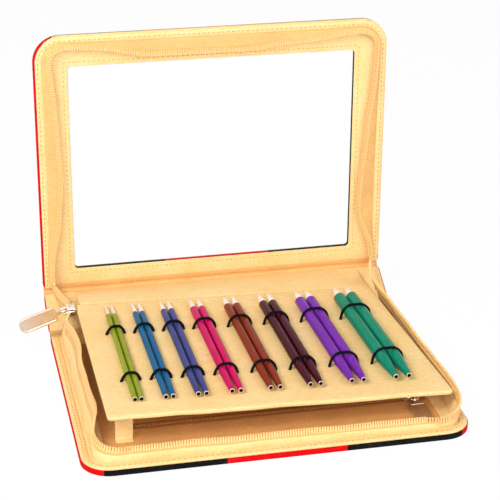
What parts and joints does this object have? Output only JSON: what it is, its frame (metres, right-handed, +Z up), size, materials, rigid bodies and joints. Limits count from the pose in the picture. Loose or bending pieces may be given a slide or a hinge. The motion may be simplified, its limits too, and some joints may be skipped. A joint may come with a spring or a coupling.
{
  "type": "knitting needle case",
  "caption": "Zip-around fold-open case with a framed clear window lid and a hinged panel that holds pairs of interchangeable knitting needles under elastic loops over a zip pocket.",
  "frame": {"origin": "middle of the underside of the base cover", "axes": "X left to right across the case, Y front to back towards the spine, Z up"},
  "size_m": [0.2611, 0.2186, 0.2025],
  "materials": {
    "printed_fabric": "printed woven fabric in red, black and cream blocks",
    "grey_board": "plain stiff board",
    "lining": "fine-grained imitation leather, gold beige",
    "zip_tape": "woven zip tape",
    "zip_coil": "nylon coil",
    "clear_pane": "clear flexible sheet",
    "black_elastic": "braided elastic cord",
    "slider_metal": "nickel plate",
    "pull_metal": "satin nickel",
    "needle_green": "coloured metal shaft with a bright point",
    "needle_blue": "coloured metal shaft with a bright point",
    "needle_slate": "coloured metal shaft with a bright point",
    "needle_pink": "coloured metal shaft with a bright point",
    "needle_copper": "coloured metal shaft with a bright point",
    "needle_maroon": "coloured metal shaft with a bright point",
    "needle_purple": "coloured metal shaft with a bright point",
    "needle_emerald": "coloured metal shaft with a bright point"
  },
  "bodies": {
    "base": {"base_outer_cover": "printed_fabric", "base_board": "grey_board", "base_lining": "lining", "base_gusset": "lining", "base_zip_tape": "zip_tape", "base_zip_coil": "zip_coil", "floor_pocket": "lining", "pocket_zip_tape": "zip_tape", "pocket_zip_coil": "zip_coil", "panel_stay_tab": "lining", "base_crease_fabric": "printed_fabric", "base_crease_lining": "lining"},
    "spine": {"spine_outer_cover": "printed_fabric", "spine_board": "grey_board", "spine_lining": "lining", "lid_crease_fabric": "printed_fabric", "lid_crease_lining": "lining", "left_zip_bridge": "zip_tape", "right_zip_bridge": "zip_tape", "panel_hinge_strip": "lining"},
    "lid": {"lid_outer_cover": "printed_fabric", "lid_board": "grey_board", "lid_lining": "lining", "window_pane": "clear_pane", "window_binding": "printed_fabric", "lid_gusset": "lining", "lid_zip_tape": "zip_tape", "lid_zip_coil": "zip_coil"},
    "panel": {"panel_cover": "lining", "panel_board": "grey_board", "elastic_loops_1": "black_elastic", "elastic_loops_2": "black_elastic", "elastic_loops_3": "black_elastic", "elastic_loops_4": "black_elastic", "elastic_loops_5": "black_elastic", "elastic_loops_6": "black_elastic", "elastic_loops_7": "black_elastic", "elastic_loops_8": "black_elastic"},
    "zip_slider": {"zip_slider": "slider_metal"},
    "zip_pull": {"zip_pull": "pull_metal"},
    "pocket_slider": {"pocket_slider": "slider_metal"},
    "pocket_pull": {"pocket_pull": "pull_metal"},
    "needle_1_left": {"needle_1_left": "needle_green"},
    "needle_1_right": {"needle_1_right": "needle_green"},
    "needle_2_left": {"needle_2_left": "needle_blue"},
    "needle_2_right": {"needle_2_right": "needle_blue"},
    "needle_3_left": {"needle_3_left": "needle_slate"},
    "needle_3_right": {"needle_3_right": "needle_slate"},
    "needle_4_left": {"needle_4_left": "needle_pink"},
    "needle_4_right": {"needle_4_right": "needle_pink"},
    "needle_5_left": {"needle_5_left": "needle_copper"},
    "needle_5_right": {"needle_5_right": "needle_copper"},
    "needle_6_left": {"needle_6_left": "needle_maroon"},
    "needle_6_right": {"needle_6_right": "needle_maroon"},
    "needle_7_left": {"needle_7_left": "needle_purple"},
    "needle_7_right": {"needle_7_right": "needle_purple"},
    "needle_8_left": {"needle_8_left": "needle_emerald"},
    "needle_8_right": {"needle_8_right": "needle_emerald"}
  },
  "joints": [
    {"name": "spine_hinge", "type": "hinge", "parent": "base", "child": "spine", "pos_m": [0, 0.094, 0], "axis": [-1, 0, 0], "range_deg": [-61.9, 28.1], "deforming": ["base_crease_fabric", "base_crease_lining", "left_zip_bridge", "right_zip_bridge", "panel_hinge_strip"]},
    {"name": "lid_hinge", "type": "hinge", "parent": "spine", "child": "lid", "pos_m": [0, 0.12858, 0.01846], "axis": [-1, 0, 0], "range_deg": [-28.1, 61.9], "deforming": ["lid_crease_fabric", "lid_crease_lining", "left_zip_bridge", "right_zip_bridge"]},
    {"name": "panel_hinge", "type": "hinge", "parent": "base", "child": "panel", "pos_m": [0.00005, 0.08915, 0.0232], "axis": [-0.9996, 0, 0.0279], "range_deg": [0, 95], "deforming": ["panel_hinge_strip"]},
    {"name": "zip_slide", "type": "slide", "parent": "base", "child": "zip_slider", "axis": [0, -0.9988, -0.0488], "range_m": [0, 0.135]},
    {"name": "zip_pull_swing", "type": "hinge", "parent": "zip_slider", "child": "zip_pull", "pos_m": [-0.11105, 0.08277, 0.0255], "axis": [-0.2741, -0.0756, 0.9587], "range_deg": [-30, 65]},
    {"name": "pocket_zip_slide", "type": "slide", "parent": "base", "child": "pocket_slider", "axis": [-1, 0, 0], "range_m": [0, 0.165]},
    {"name": "pocket_pull_lift", "type": "hinge", "parent": "pocket_slider", "child": "pocket_pull", "pos_m": [0.093, -0.05015, 0.0072], "axis": [-1, 0, 0], "range_deg": [0, 24]},
    {"name": "needle_1_left_slide", "type": "slide", "parent": "panel", "child": "needle_1_left", "axis": [0, -1, 0], "range_m": [0, 0.095]},
    {"name": "needle_1_right_slide", "type": "slide", "parent": "panel", "child": "needle_1_right", "axis": [0, -1, 0], "range_m": [0, 0.095]},
    {"name": "needle_2_left_slide", "type": "slide", "parent": "panel", "child": "needle_2_left", "axis": [0.0062, -1, -0.0002], "range_m": [0, 0.095]},
    {"name": "needle_2_right_slide", "type": "slide", "parent": "panel", "child": "needle_2_right", "axis": [0.0062, -1, -0.0002], "range_m": [0, 0.095]},
    {"name": "needle_3_left_slide", "type": "slide", "parent": "panel", "child": "needle_3_left", "axis": [0.0125, -0.9999, -0.0003], "range_m": [0, 0.095]},
    {"name": "needle_3_right_slide", "type": "slide", "parent": "panel", "child": "needle_3_right", "axis": [0.0125, -0.9999, -0.0003], "range_m": [0, 0.095]},
    {"name": "needle_4_left_slide", "type": "slide", "parent": "panel", "child": "needle_4_left", "axis": [0.0187, -0.9998, -0.0005], "range_m": [0, 0.095]},
    {"name": "needle_4_right_slide", "type": "slide", "parent": "panel", "child": "needle_4_right", "axis": [0.0187, -0.9998, -0.0005], "range_m": [0, 0.095]},
    {"name": "needle_5_left_slide", "type": "slide", "parent": "panel", "child": "needle_5_left", "axis": [0.0249, -0.9997, -0.0007], "range_m": [0, 0.095]},
    {"name": "needle_5_right_slide", "type": "slide", "parent": "panel", "child": "needle_5_right", "axis": [0.0249, -0.9997, -0.0007], "range_m": [0, 0.095]},
    {"name": "needle_6_left_slide", "type": "slide", "parent": "panel", "child": "needle_6_left", "axis": [0.0311, -0.9995, -0.0009], "range_m": [0, 0.095]},
    {"name": "needle_6_right_slide", "type": "slide", "parent": "panel", "child": "needle_6_right", "axis": [0.0311, -0.9995, -0.0009], "range_m": [0, 0.095]},
    {"name": "needle_7_left_slide", "type": "slide", "parent": "panel", "child": "needle_7_left", "axis": [0.0374, -0.9993, -0.001], "range_m": [0, 0.095]},
    {"name": "needle_7_right_slide", "type": "slide", "parent": "panel", "child": "needle_7_right", "axis": [0.0374, -0.9993, -0.001], "range_m": [0, 0.095]},
    {"name": "needle_8_left_slide", "type": "slide", "parent": "panel", "child": "needle_8_left", "axis": [0.0436, -0.999, -0.0012], "range_m": [0, 0.095]},
    {"name": "needle_8_right_slide", "type": "slide", "parent": "panel", "child": "needle_8_right", "axis": [0.0436, -0.999, -0.0012], "range_m": [0, 0.095]}
  ]
}
